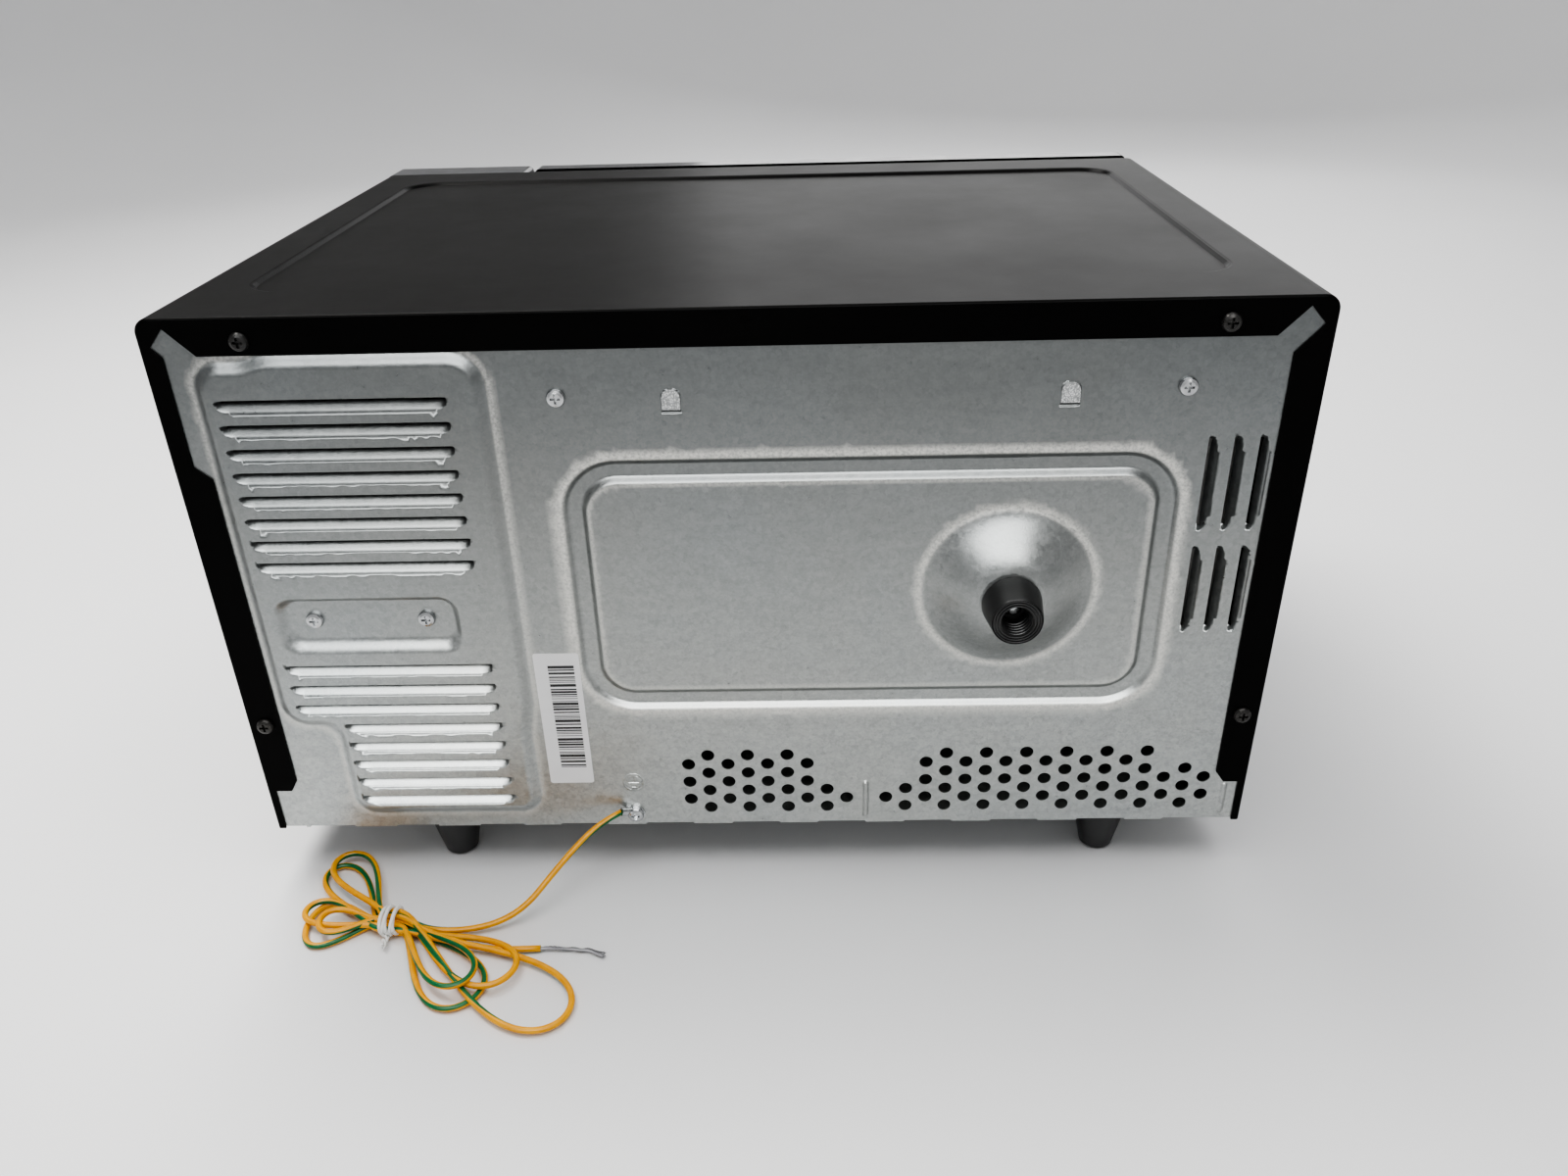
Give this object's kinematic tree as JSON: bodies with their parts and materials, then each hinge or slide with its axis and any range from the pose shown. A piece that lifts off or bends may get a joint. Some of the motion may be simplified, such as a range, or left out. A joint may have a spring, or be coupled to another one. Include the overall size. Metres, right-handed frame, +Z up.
{
  "type": "microwave oven",
  "caption": "Countertop microwave oven with a side-hinged door, two dials, a glass turntable, a stamped steel rear panel and a tied earth wire.",
  "frame": {"origin": "on the supporting surface, under the centre of the oven's bounding box", "axes": "+Z up, the door faces -Y, the controls are at +X"},
  "size_m": [0.45, 0.449, 0.2693],
  "materials": {
    "black_paint": "satin black oven paint on sheet steel",
    "galvanised": "galvanised sheet steel with fine spangle",
    "cavity_enamel": "pale grey enamel",
    "black_plastic": "fine-textured black moulding",
    "gloss_black": "smooth black moulding",
    "grey_plastic": "satin grey moulding",
    "white_plastic": "off-white moulding",
    "tinted_glass": "dark tinted glass",
    "clear_glass": "clear tempered glass",
    "zinc_screw": "bright zinc plate",
    "black_screw": "black-finished steel",
    "steel": "plain steel",
    "lamination": "varnished iron laminations",
    "copper_winding": "enamelled copper",
    "aluminium": "bare aluminium",
    "mica": "pressed mica board",
    "circuit_board": "paper-phenolic board",
    "earth_wire": "yellow insulation with a green stripe",
    "bare_copper": "tinned copper strands",
    "white_tie": "white twist tie",
    "label_paper": "white printed label"
  },
  "bodies": {
    "cabinet": {"barcode_label": "label_paper", "bare_strands": "bare_copper", "base_plate": "galvanised", "cabinet_screws": "black_screw", "capacitor": "aluminium", "cavity_lamp": "clear_glass", "cavity_liner": "cavity_enamel", "control_panel": "gloss_black", "cord_bushing": "black_plastic", "earth_screw": "zinc_screw", "earth_terminal": "zinc_screw", "earth_wire_hank": "earth_wire", "earth_wire_lead": "earth_wire", "fan_motor": "lamination", "fan_shroud": "black_plastic", "filter_board": "circuit_board", "front_frame": "black_paint", "front_left_foot": "black_plastic", "front_right_foot": "black_plastic", "high_voltage_diode": "black_plastic", "interlock_switches": "grey_plastic", "lamp_holder": "galvanised", "lower_hinge": "steel", "magnetron_antenna": "steel", "magnetron_body": "galvanised", "magnetron_fins": "aluminium", "outer_cabinet": "black_paint", "power_switch": "white_plastic", "rear_left_foot": "black_plastic", "rear_panel": "galvanised", "rear_right_foot": "black_plastic", "rear_screws": "zinc_screw", "rear_standoff": "black_plastic", "switch_holder": "white_plastic", "thermal_cutouts": "aluminium", "timer_unit": "white_plastic", "transformer_coils": "copper_winding", "transformer_core": "lamination", "turntable_motor": "galvanised", "upper_hinge": "steel", "waveguide": "galvanised", "waveguide_cover": "mica", "wire_tie": "white_tie"},
    "door": {"door_panel": "gloss_black", "door_glass": "tinted_glass", "door_frame": "black_paint", "door_mesh": "steel", "choke_cover": "black_plastic", "latch_spring": "steel"},
    "latch": {"latch_hooks": "white_plastic"},
    "release_button": {"release_button": "grey_plastic"},
    "timer_dial": {"timer_dial": "grey_plastic"},
    "power_dial": {"power_dial": "grey_plastic"},
    "fan": {"fan_blade": "white_plastic"},
    "turntable": {"drive_coupler": "white_plastic", "glass_tray": "clear_glass"},
    "roller_ring": {"roller_ring": "white_plastic"},
    "roller_1": {"ring_roller_1": "white_plastic"},
    "roller_2": {"ring_roller_2": "white_plastic"},
    "roller_3": {"ring_roller_3": "white_plastic"}
  },
  "joints": [
    {"name": "door_swing", "type": "hinge", "parent": "cabinet", "child": "door", "pos_m": [-0.218, -0.16, 0.148], "axis": [0, 0, -1], "range_deg": [0, 95]},
    {"name": "latch_lift", "type": "slide", "parent": "door", "child": "latch", "axis": [0, 0, 1], "range_m": [0, 0.004], "stiffness_N_per_m": 300, "springref_m": -0.004, "deforming": ["latch_spring"]},
    {"name": "release_press", "type": "slide", "parent": "cabinet", "child": "release_button", "axis": [0, 1, 0], "range_m": [0, 0.004], "stiffness_N_per_m": 600, "springref_m": -0.002},
    {"name": "timer_turn", "type": "hinge", "parent": "cabinet", "child": "timer_dial", "pos_m": [0.181, -0.18, 0.196], "axis": [0, 1, 0], "range_deg": [0, 300]},
    {"name": "power_turn", "type": "hinge", "parent": "cabinet", "child": "power_dial", "pos_m": [0.181, -0.18, 0.132], "axis": [0, 1, 0], "range_deg": [0, 240]},
    {"name": "fan_spin", "type": "hinge", "parent": "cabinet", "child": "fan", "pos_m": [0.156, 0.112, 0.205], "axis": [0, 1, 0], "continuous": true},
    {"name": "turntable_spin", "type": "hinge", "parent": "cabinet", "child": "turntable", "pos_m": [-0.0625, -0.012, 0.055], "axis": [0, 0, 1], "continuous": true},
    {"name": "ring_spin", "type": "hinge", "parent": "cabinet", "child": "roller_ring", "pos_m": [-0.0625, -0.012, 0.0565], "axis": [0, 0, 1], "continuous": true},
    {"name": "roller_1_spin", "type": "hinge", "parent": "roller_ring", "child": "roller_1", "pos_m": [0.01804, 0.0345, 0.0565], "axis": [0.866, 0.5, 0], "continuous": true},
    {"name": "roller_2_spin", "type": "hinge", "parent": "roller_ring", "child": "roller_2", "pos_m": [-0.14304, 0.0345, 0.0565], "axis": [-0.866, 0.5, 0], "continuous": true},
    {"name": "roller_3_spin", "type": "hinge", "parent": "roller_ring", "child": "roller_3", "pos_m": [-0.0625, -0.105, 0.0565], "axis": [0, -1, 0], "continuous": true}
  ],
  "couplings": [
    {"joint": "ring_spin", "follows": "turntable_spin", "ratio": 0.5},
    {"joint": "roller_1_spin", "follows": "turntable_spin", "ratio": -7.5},
    {"joint": "roller_2_spin", "follows": "turntable_spin", "ratio": -7.5},
    {"joint": "roller_3_spin", "follows": "turntable_spin", "ratio": -7.5}
  ]
}
